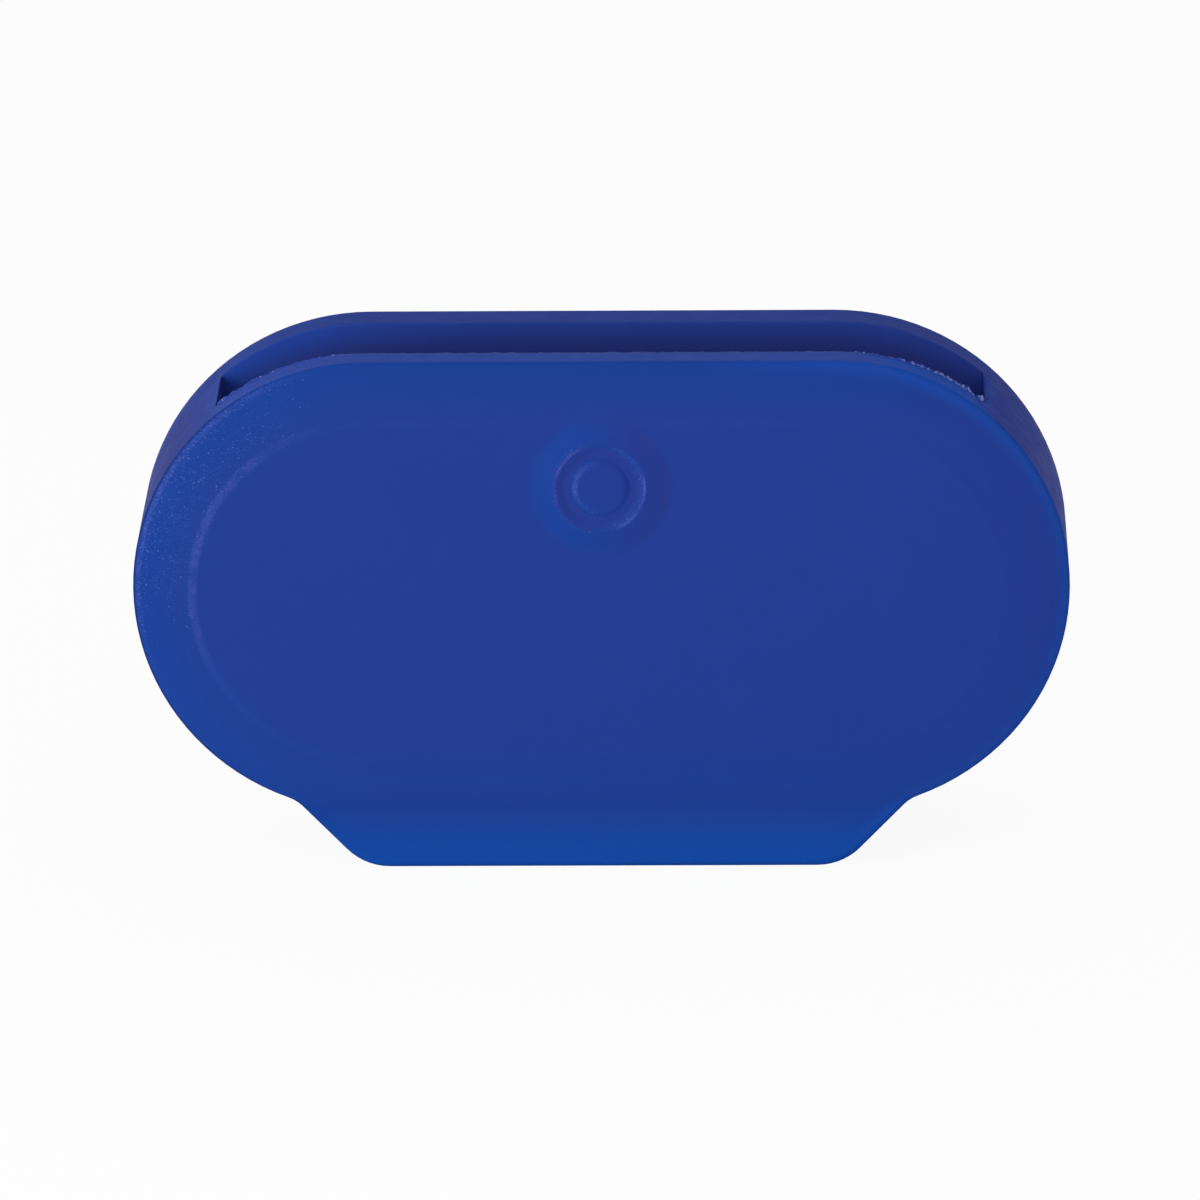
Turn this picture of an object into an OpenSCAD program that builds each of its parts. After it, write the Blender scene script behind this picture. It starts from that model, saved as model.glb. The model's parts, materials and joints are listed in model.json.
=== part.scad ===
// Magnetic glass cleaner: a dry half that a hand moves over the outside of an aquarium pane,
// and a wet half that follows it inside, shown clapped together as they are stored.
// X runs along the width, Y from the hand to the water and Z up; the pair stands on its foot.

/* [Outline of both halves] */
// Overall width
body_w = 125; // [118:0.5:140]
// Radius of the round ends, half the height of the round body
end_r = 31.35; // [30:0.05:34]
// How far the foot reaches below the round body
foot_drop = 7.75; // [6:0.25:10]
// Width of the foot, measured to its corners before they are rounded
foot_w = 64.2; // [56:0.2:70]
// Slope of the foot's flanks in degrees
foot_slope = 46; // [40:1:55]
// Radius of the foot's lower corners
foot_corner_r = 8; // [4:0.5:10]
// Radius of the hollow fillet between the foot and the round body
foot_fillet_r = 5; // [2:0.5:8]
// Gap between the two halves' rims
mate_gap = 0.12; // [0.1:0.02:0.4]

/* [Dry shell] */
// Thickness of the front wall at the rim
front_wall = 4.5; // [3.5:0.1:6]
// Wall round the magnet chamber, at the ends and below
side_wall = 4.5; // [3.5:0.1:6]
// Clear depth of the finger slot, from the front wall to the wet half
finger_gap = 14.7; // [14.2:0.1:18]
// Depth of the finger slot below the top edge
finger_depth = 19; // [16:0.5:21]
// Width left standing at each end of the finger slot
slot_shoulder = 11.3; // [9.5:0.1:16]
// Radius of the finger slot's lower corners
slot_corner_r = 6; // [2:0.5:8]
// Wall between the finger slot and the magnet chamber
shelf_wall = 3; // [2.4:0.1:4.5]
// How far the base plate's edge sits under the shell's lip
lip_overlap = 1.2; // [0.8:0.1:1.6]

/* [Front relief] */
// Width of the bevel between the rim and the plateau
bevel_w = 8.8; // [6:0.1:11]
// Rise of the bevel
bevel_rise = 1.6; // [0.8:0.1:3]
// How far the bevel bulges out of a straight slope
bevel_bulge = 0.3; // [0.1:0.05:0.6]
// Width of the soft shoulder from the bevel up to the plateau
shoulder_w = 1.8; // [1:0.1:2.5]
// Height of the soft shoulder
shoulder_h = 0.3; // [0.15:0.05:0.5]

/* [Thumb boss] */
// Distance of the boss's centre below the top edge
boss_drop = 16.7; // [14:0.1:24]
// Radius of the boss where its flank leaves the plateau
boss_r = 9.4; // [8.6:0.1:10.4]
// How far the flank runs on below the plateau, where the shoulder drops away from it
skirt_w = 2; // [1:0.1:2]
// Height of the ring's crest and of the dome above the plateau
boss_h = 0.95; // [0.8:0.05:1.3]
// Radius of the ring's crest
ring_r = 6.1; // [5.6:0.1:6.8]
// Outer radius of the groove's floor
groove_r = 4.9; // [4.4:0.1:5.2]
// Height of the groove's floor
groove_h = 0.5; // [0.3:0.05:0.6]
// Radius of the button-like dome inside the ring, at its foot
dome_r = 3.9; // [3.2:0.1:4.2]
// Rounding of the dome's edge
dome_edge_r = 1.6; // [1:0.1:2]

/* [Wet shell] */
// Thickness of the wet half's rim
wet_rim = 5.8; // [5:0.1:8]
// Wall of the dome behind the magnets
wet_wall = 2.6; // [2:0.1:4]
// Width of the dome's rounded edge
dome_edge_w = 7; // [5:0.1:7.5]
// How far the dome's edge bulges out of a straight slope
dome_bulge = 1; // [0.4:0.1:1.4]
// Width of the ledge that carries the tub's flange
ledge_w = 1.6; // [1.2:0.1:1.8]

/* [Magnets] */
// Width of one magnet
magnet_w = 36; // [30:0.5:37]
// Height of one magnet
magnet_h = 24; // [18:0.5:24.5]
// Thickness of the dry half's magnets
dry_magnet_t = 6; // [4:0.1:6.5]
// Thickness of the wet half's magnets
wet_magnet_t = 4; // [3:0.1:6]
// Corner radius of the magnets
magnet_corner_r = 1; // [0.5:0.5:3]
// Thickness of the dry half's yoke plate
dry_yoke_t = 1.6; // [1:0.1:2]
// Thickness of the wet half's yoke plate
wet_yoke_t = 1.2; // [0.8:0.1:2]
// Corner radius of the yoke plates
yoke_corner_r = 2; // [1:0.5:4]

/* [Trays, plates and pads] */
// Wall of both trays
tray_wall = 1.2; // [1:0.1:1.6]
// Floor of both trays
tray_floor = 1.2; // [0.8:0.1:1.6]
// How far the trays' ribs reach up the magnets' sides
rib_grip = 2; // [1:0.1:2.8]
// Thickness of the dry half's base plate
dry_base_t = 2; // [1.8:0.1:2.4]
// Thickness of the wet half's base plate
wet_base_t = 1.8; // [1.8:0.1:2.4]
// Thickness of the wet tub's flange
flange_t = 1.2; // [0.8:0.1:1.6]
// Thickness of the seal between the flange and the base plate
seal_t = 0.6; // [0.4:0.1:1]
// Thickness of the wet half's packing foam
wet_foam_t = 0.8; // [0.6:0.1:1.5]
// Thickness of the felt pad, pressed
felt_t = 2.4; // [2:0.1:3]
// Thickness of the scrub pad, pressed
scrub_t = 2.2; // [1.8:0.1:3]
// Rounding of the pads' edges
pad_edge_r = 0.8; // [0.4:0.1:1.2]

/* [Screws and blade] */
// Diameter of the screws' shank
screw_d = 2.2; // [1.8:0.1:2.6]
// Diameter of the screws' countersunk head
screw_head_d = 4.2; // [3.8:0.1:4.6]
// Length of the screws
screw_len = 6; // [5.2:0.1:6.4]
// Length of the cross recess in a screw's head
recess_len = 2; // [1.6:0.1:2.2]
// Width of the cross recess
recess_w = 0.6; // [0.4:0.1:0.6]
// Depth of the cross recess
recess_h = 0.6; // [0.4:0.1:0.6]
// Distance between the upper and the lower screws
screw_pitch = 12; // [10:0.5:13]
// Wall of the posts that take the screws
post_wall = 1; // [0.8:0.1:1.2]
// Width of the scraper blade
blade_w = 50; // [40:0.5:52]
// Height of the scraper blade
blade_h = 9; // [7.5:0.1:9.6]
// Thickness of the scraper blade
blade_t = 0.6; // [0.4:0.1:0.8]
// Height of the blade's ground edge
blade_edge_h = 1.6; // [1:0.1:2.4]
// How far the blade's edge stays above the foot's flat
blade_lift = 0.4; // [0.3:0.1:0.8]
// Distance between the two pegs that the blade hangs on
peg_pitch = 34; // [24:0.5:38]
// Diameter of the pegs
peg_d = 3; // [2.4:0.1:3.6]

/* [Clearances] */
// Between pieces that drop into each other
fit_gap = 0.15; // [0.1:0.05:0.25]
// Between flat faces that rest on each other
seat_gap = 0.05; // [0.02:0.01:0.08]
// Between a pad's edge and the recess round it
pad_gap = 0.3; // [0.2:0.05:0.5]
// Between a screw's shank and the hole that it bites into
thread_gap = 0.02; // [0.01:0.01:0.05]

/* [Hidden] */
$fn = 128;

// Colours
shell_blue = [0.10, 0.21, 0.56];
tray_grey = [0.22, 0.23, 0.25];
plate_grey = [0.30, 0.31, 0.33];
magnet_nickel = [0.72, 0.72, 0.70];
steel = [0.62, 0.63, 0.65];
foam_black = [0.12, 0.12, 0.13];
felt_white = [0.86, 0.86, 0.83];
scrub_green = [0.20, 0.30, 0.24];

// Reach of a cut past the face it opens
past = 1;

// Outline
straight = body_w - 2 * end_r;
mid_z = foot_drop + end_r;
top_z = mid_z + end_r;

// Magnet chamber, a smaller round-ended form low in the body
chamber_low_z = foot_drop + side_wall;
chamber_top_z = top_z - finger_depth - shelf_wall;
chamber_r = (chamber_top_z - chamber_low_z) / 2;
chamber_z = (chamber_top_z + chamber_low_z) / 2;
pad_r = chamber_r - pad_gap;
slot_w = body_w - 2 * slot_shoulder;
slot_floor_z = top_z - finger_depth;

// Depths from the plane where the halves meet, outwards in each half
rim_d = mate_gap / 2;
dry_plate_d = seat_gap + felt_t;
dry_core_d = dry_plate_d + dry_base_t;
dry_magnet_d = dry_core_d + seat_gap;
dry_yoke_d = dry_magnet_d + dry_magnet_t;
dry_foam_d = dry_yoke_d + dry_yoke_t;
dry_inner_d = finger_gap - rim_d;
dry_tray_d = dry_inner_d - seat_gap;
dry_floor_d = dry_tray_d - tray_floor;
dry_front_d = dry_inner_d + front_wall;
plateau_d = dry_front_d + bevel_rise + shoulder_h;

wet_plate_d = seat_gap + scrub_t;
wet_core_d = wet_plate_d + wet_base_t;
flange_d = wet_core_d + seal_t;
ledge_d = flange_d + flange_t;
wet_magnet_d = wet_core_d + seat_gap;
wet_yoke_d = wet_magnet_d + wet_magnet_t;
wet_foam_d = wet_yoke_d + wet_yoke_t;
wet_floor_d = wet_foam_d + wet_foam_t;
wet_tray_d = wet_floor_d + tray_floor;
wet_inner_d = wet_tray_d + seat_gap;
wet_back_d = wet_inner_d + wet_wall;
wet_rim_d = rim_d + wet_rim;

// The pair is centred on Y
mate_y = (plateau_d + boss_h - wet_back_d) / 2;

// Trays
tray_r = chamber_r - fit_gap;
tub_r = chamber_r - ledge_w - fit_gap;
well_w = 2 * magnet_w + 3 * fit_gap;
well_h = magnet_h + 2 * fit_gap;
screw_x = (well_w / 2 + tray_wall + straight / 2 + tub_r - tray_wall) / 2;
post_r = screw_d / 2 + post_wall;
pilot_r = screw_d / 2 + thread_gap;
root = tray_floor / 2;
hole_r = screw_d / 2 + fit_gap;
head_h = (screw_head_d - screw_d) / 2;

// Blade
blade_recess_t = blade_t + 2 * seat_gap;
peg_z = blade_lift + blade_edge_h + (blade_h - blade_edge_h) / 2;

// The foot's right flank, and the point at distance r outside both it and the right end
flank_dir = [cos(foot_slope), sin(foot_slope)];
flank_out = [sin(foot_slope), -cos(foot_slope)];
end_centre = [straight / 2, mid_z];
function beside_flank(r) =
    let (
        from = [foot_w / 2, 0] + r * flank_out - end_centre,
        along = from * flank_dir,
        run = -along - sqrt(along ^ 2 - from * from + (end_r + r) ^ 2)
    )
    end_centre + from + run * flank_dir;
foot_joint = beside_flank(0);
fillet_centre = beside_flank(foot_fillet_r);

// Shapes in the X and Z plane

// Round-ended form about height z
module stadium(r, z) {
    translate([0, z]) {
        square([straight, 2 * r], center = true);
        for (side = [-1, 1])
            translate([side * straight / 2, 0])
                circle(r);
    }
}

// Foot with its lower corners rounded, reaching up into the round body
module foot() {
    tangent = foot_corner_r * tan(foot_slope / 2);
    corner = [foot_w / 2, 0];
    for (side = [0, 1])
        mirror([side, 0]) {
            polygon([
                [0, 0], corner - [tangent, 0], corner + flank_dir * tangent,
                foot_joint, end_centre, [0, mid_z]
            ]);
            translate(corner + [-tangent, foot_corner_r])
                circle(foot_corner_r);
        }
}

// Hollow fillets where the foot leaves the round ends
module foot_fillets() {
    for (side = [0, 1])
        mirror([side, 0])
            difference() {
                polygon([end_centre, fillet_centre, fillet_centre - foot_fillet_r * flank_out]);
                translate(fillet_centre)
                    circle(foot_fillet_r);
            }
}

// Outline that both halves share
module outline() {
    stadium(end_r, mid_z);
    foot();
    foot_fillets();
}

// Finger slot with round lower corners, open at the top
module finger_slot() {
    translate([-slot_w / 2, slot_floor_z + slot_corner_r])
        square([slot_w, finger_depth]);
    translate([slot_corner_r - slot_w / 2, slot_floor_z])
        square([slot_w - 2 * slot_corner_r, finger_depth]);
    for (side = [-1, 1])
        translate([side * (slot_w / 2 - slot_corner_r), slot_floor_z + slot_corner_r])
            circle(slot_corner_r);
}

// Rectangle with round corners about the chamber's height
module plate_shape(w, h, r) {
    translate([0, chamber_z]) {
        square([w - 2 * r, h], center = true);
        square([w, h - 2 * r], center = true);
        for (x = [-1, 1], z = [-1, 1])
            translate([x * (w / 2 - r), z * (h / 2 - r)])
                circle(r);
    }
}

// Round segment that stands on the chord from p to q
module bulge(p, q, rise) {
    chord = norm(q - p);
    radius = (chord ^ 2 / 4 + rise ^ 2) / (2 * rise);
    out = [q.y - p.y, p.x - q.x] / chord;
    intersection() {
        translate((p + q) / 2 - out * (radius - rise))
            circle(radius);
        polygon([p, q, q + 2 * rise * out, p + 2 * rise * out]);
    }
}

// Solids, with depth along Y from the plane where the halves meet

// One half, placed: the dry half's depths run towards the hand
module dry_half() {
    translate([0, mate_y, 0])
        mirror([0, 1, 0])
            children();
}
module wet_half() {
    translate([0, mate_y, 0])
        children();
}

// Flat piece between two depths
module slab(from, to) {
    translate([0, to, 0])
        rotate([90, 0, 0])
            linear_extrude(to - from)
                children();
}

// Round-ended piece of any section: x is the distance from the middle line, y the depth
module racetrack(z) {
    translate([0, 0, z])
        rotate([-90, 0, 0]) {
            for (side = [-1, 1])
                translate([side * straight / 2, 0, 0])
                    rotate_extrude()
                        children();
            rotate([90, 0, 90])
                linear_extrude(straight, center = true) {
                    children();
                    mirror([1, 0])
                        children();
                }
        }
}

// Something at each of the four screws, on an axis along the depth
module at_screws() {
    for (x = [-1, 1], z = [-1, 1])
        translate([x * screw_x, 0, chamber_z + z * screw_pitch / 2])
            rotate([-90, 0, 0])
                children();
}

// Section of the crowned bevel, the soft shoulder and the plateau
module relief_section() {
    rim = [end_r, dry_front_d];
    crest = [end_r - bevel_w, plateau_d];
    heel = crest + [shoulder_w, -shoulder_h];
    middle = (crest + heel) / 2;
    ease = norm(heel - crest) / 4 * tan(atan(shoulder_h / shoulder_w) / 2);
    difference() {
        union() {
            polygon([[0, rim.y - past], rim - [past, past], rim, heel, crest, [0, plateau_d]]);
            bulge(rim, heel, bevel_bulge);
            bulge(middle, crest, ease);
        }
        bulge(middle, heel, ease);
    }
}

// Section of the dome behind the wet half's rim
module dome_section() {
    rim = [end_r, wet_rim_d];
    crown = [end_r - dome_edge_w, wet_back_d];
    polygon([[0, wet_rim_d - past], rim - [past, past], rim, crown, [0, wet_back_d]]);
    bulge(rim, crown, dome_bulge);
}

// Section of the thumb boss about its own axis, from the plateau
module boss_section() {
    slope = boss_h / (boss_r - ring_r);
    skirt = [boss_r + skirt_w, -skirt_w * slope];
    base = dry_front_d - plateau_d - past;
    dome_flat = dome_r - sqrt(dome_edge_r ^ 2 - (dome_edge_r - boss_h + groove_h) ^ 2);
    polygon([
        [0, base], [skirt.x, base], skirt, [ring_r, boss_h], [groove_r, groove_h], [0, groove_h]
    ]);
    square([dome_flat, boss_h]);
    intersection() {
        translate([dome_flat, boss_h - dome_edge_r])
            circle(dome_edge_r);
        square([ring_r, boss_h]);
    }
}

// Section of a pad with a rounded working edge
module pad_section(t) {
    square([pad_r - pad_edge_r, t]);
    translate([0, pad_edge_r])
        square([pad_r, t - pad_edge_r]);
    translate([pad_r - pad_edge_r, pad_edge_r])
        circle(pad_edge_r);
}

// Magnet at the left or right of the well
module magnet(side, d, t) {
    color(magnet_nickel)
        translate([side * (magnet_w + fit_gap) / 2, 0, 0])
            slab(d, d + t)
                plate_shape(magnet_w, magnet_h, magnet_corner_r);
}

// Steel plate under both magnets
module yoke_plate(d, t) {
    color(steel)
        slab(d, d + t)
            plate_shape(well_w - 2 * fit_gap, magnet_h, yoke_corner_r);
}

// Foam sheet between the yoke plate and the tray's floor
module packing_foam(d, t) {
    color(foam_black)
        slab(d, d + t)
            plate_shape(well_w - 2 * fit_gap, magnet_h, yoke_corner_r);
}

// Ribs round the magnets and posts for the screws, rooted in a tray's floor
module tray_insides(floor_d, rib_d, open_d) {
    difference() {
        slab(rib_d, floor_d + root)
            plate_shape(well_w + 2 * tray_wall, well_h + 2 * tray_wall, tray_wall);
        slab(rib_d - past, floor_d)
            plate_shape(well_w, well_h, tray_wall / 2);
    }
    difference() {
        at_screws()
            translate([0, 0, open_d])
                cylinder(h = floor_d + root - open_d, r = post_r);
        at_screws()
            translate([0, 0, open_d - past])
                cylinder(h = screw_len + past, r = pilot_r);
    }
}

// Plate that closes a tray, drilled and countersunk for the screws
module base_plate(r, d, t) {
    color(plate_grey)
        difference() {
            slab(d, d + t)
                stadium(r, chamber_z);
            at_screws()
                translate([0, 0, d - past])
                    cylinder(h = t + 2 * past, r = hole_r);
            at_screws()
                translate([0, 0, d])
                    cylinder(h = head_h, r1 = screw_head_d / 2 + fit_gap, r2 = hole_r);
        }
}

// Four countersunk screws with a cross recess, whose heads lie flush at depth d
module screws(d) {
    color(steel)
        at_screws()
            translate([0, 0, d])
                difference() {
                    union() {
                        cylinder(h = head_h, r1 = screw_head_d / 2, r2 = screw_d / 2);
                        cylinder(h = screw_len, r = screw_d / 2);
                    }
                    for (turn = [0, 90])
                        rotate([0, 0, turn])
                            cube([recess_len, recess_w, 2 * recess_h], center = true);
                }
}

// Dry half

module dry_shell() {
    color(shell_blue)
        dry_half()
            difference() {
                union() {
                    slab(rim_d, dry_front_d)
                        outline();
                    racetrack(mid_z)
                        relief_section();
                    translate([0, plateau_d, top_z - boss_drop])
                        rotate([-90, 0, 0])
                            rotate_extrude()
                                boss_section();
                }
                slab(-past, dry_inner_d)
                    finger_slot();
                slab(-past, dry_inner_d)
                    stadium(chamber_r, chamber_z);
                slab(dry_plate_d - seat_gap, dry_core_d + seat_gap)
                    stadium(chamber_r + lip_overlap, chamber_z);
            }
}

module dry_tray() {
    color(tray_grey)
        dry_half() {
            difference() {
                slab(dry_core_d + 2 * seat_gap, dry_tray_d)
                    stadium(tray_r, chamber_z);
                slab(dry_core_d - past, dry_floor_d)
                    stadium(tray_r - tray_wall, chamber_z);
            }
            tray_insides(dry_floor_d, dry_yoke_d - rib_grip, dry_core_d + 2 * seat_gap);
        }
}

module dry_packing_foam() {
    dry_half()
        packing_foam(dry_foam_d, dry_floor_d - dry_foam_d);
}

module dry_yoke_plate() {
    dry_half()
        yoke_plate(dry_yoke_d, dry_yoke_t);
}

module dry_magnet_left() {
    dry_half()
        magnet(-1, dry_magnet_d, dry_magnet_t);
}

module dry_magnet_right() {
    dry_half()
        magnet(1, dry_magnet_d, dry_magnet_t);
}

module dry_base_plate() {
    dry_half()
        base_plate(chamber_r + lip_overlap - fit_gap, dry_plate_d, dry_base_t);
}

module dry_screws() {
    dry_half()
        screws(dry_plate_d);
}

module felt_pad() {
    color(felt_white)
        dry_half()
            translate([0, seat_gap, 0])
                racetrack(chamber_z)
                    pad_section(felt_t);
}

// Wet half

module wet_shell() {
    color(shell_blue)
        wet_half() {
            difference() {
                union() {
                    slab(rim_d, wet_rim_d)
                        outline();
                    racetrack(mid_z)
                        dome_section();
                }
                slab(-past, ledge_d)
                    stadium(chamber_r, chamber_z);
                slab(-past, wet_inner_d)
                    stadium(tub_r + fit_gap, chamber_z);
                translate([-blade_w / 2 - fit_gap, rim_d - past, -past])
                    cube([blade_w + 2 * fit_gap, past + blade_recess_t, past + blade_lift + blade_h + fit_gap]);
            }
            for (side = [-1, 1])
                translate([side * peg_pitch / 2, rim_d, peg_z])
                    rotate([-90, 0, 0])
                        cylinder(h = blade_recess_t + past, d = peg_d);
        }
}

module wet_tray() {
    color(tray_grey)
        wet_half() {
            difference() {
                union() {
                    slab(flange_d, ledge_d - seat_gap)
                        stadium(tray_r, chamber_z);
                    slab(flange_d, wet_tray_d)
                        stadium(tub_r, chamber_z);
                }
                slab(flange_d - past, wet_floor_d)
                    stadium(tub_r - tray_wall, chamber_z);
            }
            tray_insides(wet_floor_d, wet_yoke_d - rib_grip, wet_core_d + seat_gap);
        }
}

module wet_packing_foam() {
    wet_half()
        packing_foam(wet_foam_d, wet_foam_t);
}

module wet_yoke_plate() {
    wet_half()
        yoke_plate(wet_yoke_d, wet_yoke_t);
}

module wet_magnet_left() {
    wet_half()
        magnet(-1, wet_magnet_d, wet_magnet_t);
}

module wet_magnet_right() {
    wet_half()
        magnet(1, wet_magnet_d, wet_magnet_t);
}

module wet_seal() {
    color(foam_black)
        wet_half()
            slab(wet_core_d, flange_d)
                difference() {
                    stadium(tray_r, chamber_z);
                    stadium(tub_r - tray_wall, chamber_z);
                }
}

module wet_base_plate() {
    wet_half()
        base_plate(tray_r, wet_plate_d, wet_base_t);
}

module wet_screws() {
    wet_half()
        screws(wet_plate_d);
}

module scrub_pad() {
    color(scrub_green)
        wet_half()
            translate([0, seat_gap, 0])
                racetrack(chamber_z)
                    pad_section(scrub_t);
}

// Steel blade on two pegs of the wet foot, ground to an edge on the glass side
module scraper_blade() {
    blade_d = rim_d + seat_gap;
    color(steel)
        wet_half()
            difference() {
                rotate([90, 0, 90])
                    linear_extrude(blade_w, center = true)
                        polygon([
                            [blade_d, blade_lift], [blade_d, blade_lift + blade_h],
                            [blade_d + blade_t, blade_lift + blade_h],
                            [blade_d + blade_t, blade_lift + blade_edge_h]
                        ]);
                for (side = [-1, 1])
                    translate([side * peg_pitch / 2, blade_d - past, peg_z])
                        rotate([-90, 0, 0])
                            cylinder(h = blade_t + 2 * past, d = peg_d + fit_gap);
            }
}

dry_shell();
dry_tray();
dry_packing_foam();
dry_yoke_plate();
dry_magnet_left();
dry_magnet_right();
dry_base_plate();
dry_screws();
felt_pad();
wet_shell();
wet_tray();
wet_packing_foam();
wet_yoke_plate();
wet_magnet_left();
wet_magnet_right();
wet_seal();
wet_base_plate();
wet_screws();
scrub_pad();
scraper_blade();
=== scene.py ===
"""Looks of the magnetic glass cleaner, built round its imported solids. All lengths are in metres."""

import json
import math
import random
from types import SimpleNamespace

import bpy
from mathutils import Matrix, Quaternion, Vector


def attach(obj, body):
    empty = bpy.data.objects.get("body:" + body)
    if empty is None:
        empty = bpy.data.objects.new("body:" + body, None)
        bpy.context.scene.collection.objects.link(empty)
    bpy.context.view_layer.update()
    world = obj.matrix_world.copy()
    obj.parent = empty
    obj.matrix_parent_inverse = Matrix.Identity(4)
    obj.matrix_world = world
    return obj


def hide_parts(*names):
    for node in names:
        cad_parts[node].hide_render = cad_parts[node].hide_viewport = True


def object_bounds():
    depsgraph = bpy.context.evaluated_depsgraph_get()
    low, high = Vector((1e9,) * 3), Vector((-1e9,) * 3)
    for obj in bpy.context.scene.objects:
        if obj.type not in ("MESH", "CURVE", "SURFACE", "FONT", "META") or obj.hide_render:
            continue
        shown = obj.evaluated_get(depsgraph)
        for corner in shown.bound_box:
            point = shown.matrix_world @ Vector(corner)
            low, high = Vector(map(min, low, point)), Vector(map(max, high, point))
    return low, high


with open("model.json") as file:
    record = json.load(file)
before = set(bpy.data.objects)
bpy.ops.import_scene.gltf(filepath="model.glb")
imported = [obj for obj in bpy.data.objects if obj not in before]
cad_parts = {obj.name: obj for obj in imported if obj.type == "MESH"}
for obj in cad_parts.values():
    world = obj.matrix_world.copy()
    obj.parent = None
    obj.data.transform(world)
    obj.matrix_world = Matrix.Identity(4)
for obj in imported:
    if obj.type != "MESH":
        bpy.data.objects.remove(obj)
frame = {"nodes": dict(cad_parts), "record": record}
cad_low, cad_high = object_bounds()

MM = 0.001


def rgb(red, green, blue):
    """Linear colour with full alpha."""
    return (red, green, blue, 1.0)


# Outline that both halves share
END_RADIUS = 31.35 * MM
STRAIGHT = cad_high.x - cad_low.x - 2 * END_RADIUS
MID_Z = cad_high.z - END_RADIUS
FOOT_HALF = 32.1 * MM
FOOT_SLOPE = math.radians(46)
FOOT_TOP = 18 * MM

# Finger slot: its half width and the front wall's inner face
SLOT_HALF = 51.2 * MM
SLOT_FRONT_Y = -10.62 * MM

# Height of the thumb boss's axis
BOSS_Z = cad_high.z - 16.7 * MM

# Where the dry half ends and the wet half starts along Y, in millimetres
DRY_TO = 3.98
WET_FROM = 4.05

# Rings of the boss, as inner and outer distance from its axis in millimetres
DOME_EDGE = (3.0, 3.5)
DOME_WEAR_AND_HIGHLIGHT = (3.1, 3.5)
GROOVE = (4.3, 5.2)
RING_CREST = (5.6, 6.5)
CREST_WEAR_AND_HIGHLIGHT = (5.85, 6.05)
LEFT_FLANK = (6.8, 7.9)
RIGHT_FLANK = (7.9, 8.9)
BOSS_FOOT = (8.2, 11.0)

# Worn crests on the boss, pale where painted highlights fall: their direction as shares of Z and minus X,
# and from how far out, in millimetres
WEAR_AND_HIGHLIGHT_UP = 0.42
WEAR_AND_HIGHLIGHT_LEFT = 0.91
CREST_WORN_AND_LIT_FROM = (3.6, 5.6)
DOME_WORN_AND_LIT_FROM = (1.9, 3.3)

# Lines along the outline, as distances inwards in millimetres
SHOULDER = (7.6, 8.2)
RIM_LINE = (0.5, 0.8)

# Tints by distance inwards from the outline in millimetres: where each starts and where it is full. The rim
# glows are painted light, the slot's tints painted light and shade, the dust ones dust specks that are also
# painted glints
RIM_GLOW = (8.0, 0.0)
RIGHT_RIM_GLOW = (2.4, 0.0)
SLOT_END_WALL = (0.3, 1.2)
BEHIND_SLOT = (7.5, 5.0)
SLOT_TOP = (5.5, 0.2)
RIM_DUST_AND_GLINT = (2.2, 0.5)
BEVEL_DUST_AND_GLINT = (9.0, 7.5)
CREASE = (0.34, 0.16)
SOFT_RIM = (2.5, 1.5)

# Tints by place along X and Z in millimetres: where each starts and where it is full. The glow and slot ones
# place painted light and shade, the dust ones dust and painted glints on the lit upper left
LEFT_TO_RIGHT_X = (-20.0, 20.0)
RIM_GLOW_X = (30.0, 55.0)
RIGHT_RIM_GLOW_X = (10.0, 40.0)
SLOT_TOP_LEFT_X = (-15.0, -45.0)
DUST_AND_LIGHT_X = (-36.0, -54.0)
CREASE_X = (-40.0, -54.0)
SOFT_RIM_X = (-36.0, -24.0)
TORN_FLASH_X = (36.0, 50.0)
FOOT_GLOW_Z = (10.5, 0.0)
BEHIND_SLOT_Z = (46.0, 54.0)
DUST_AND_LIGHT_Z = (20.0, 46.0)
BEVEL_DUST_AND_GLINT_Z = (28.0, 46.0)

# Tints by facing, as the normal's share along an axis: where each starts and where it is full. Most of them
# place painted light and shade by how a face turns to the lamp; the boss's dust one places dust and painted
# glints
FACES_FRONT = (-0.5, -0.85)
FACES_DOWN = (0.0, -0.2)
FACES_LEFT = (0.3, -0.3)
FACES_RIGHT = (0.08, 0.3)
LEFT_END = (-0.55, -0.85)
RIGHT_END = (0.52, 0.74)
SLOT_END = (0.6, 0.9)
BOSS_FACES_LEFT = (0.15, -0.02)
BOSS_FACES_RIGHT = (0.0, 0.2)
BOSS_DUST_AND_GLINT = (0.0, -0.2)

# Dust specks, which are also painted glints, by size: cells per millimetre, share of cells and how strongly
# they show
SPECKS = ((3.0, 0.45, 1.0), (4.6, 0.8, 0.65), (7.0, 1.0, 0.45))
SPECK_EDGE = (0.5, 0.1)

# Noises by scale per millimetre, detail and roughness
SKIN = (5.0, 4.0, 0.6)
CLOUD = (0.35, 4.0, 0.6)
SMEAR = (0.09, 5.0, 0.6)
TORN_FLASH = (1.6, 3.0, 0.6)
MOULD_GRAIN = (3.5, 4.0, 0.6)
RUBBED = (0.25, 5.0, 0.65)
DULL_PATCH = (0.3, 4.0, 0.6)
FOAM_CLOUD = (0.8, 4.0, 0.6)
FIBRE_CLOUD = (0.5, 4.0, 0.6)

# Ranges of a noise: most of it, and the parts of it that show
MOST_NOISE = (0.3, 0.7)
GRAIN_SHOWS = (0.85, 1.2)
CLOUD_SHOWS = (0.3, 0.65)
TORN_SHOWS = (0.55, 0.68)
RUBBED_SHOWS = (0.45, 0.75)
DULL_SHOWS = (0.4, 0.7)
FOAM_SHOWS = (0.35, 0.7)
FIBRE_SHOWS = (0.5, 0.8)

# How grain is stretched along X: drawn metal, and matted fibres with their two turns in radians
DRAWN = (0.08, 1.0, 1.0)
MATTED = (0.12, 1.0, 1.0)
FIBRE_TURNS = (0.5, 2.0)

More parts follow.
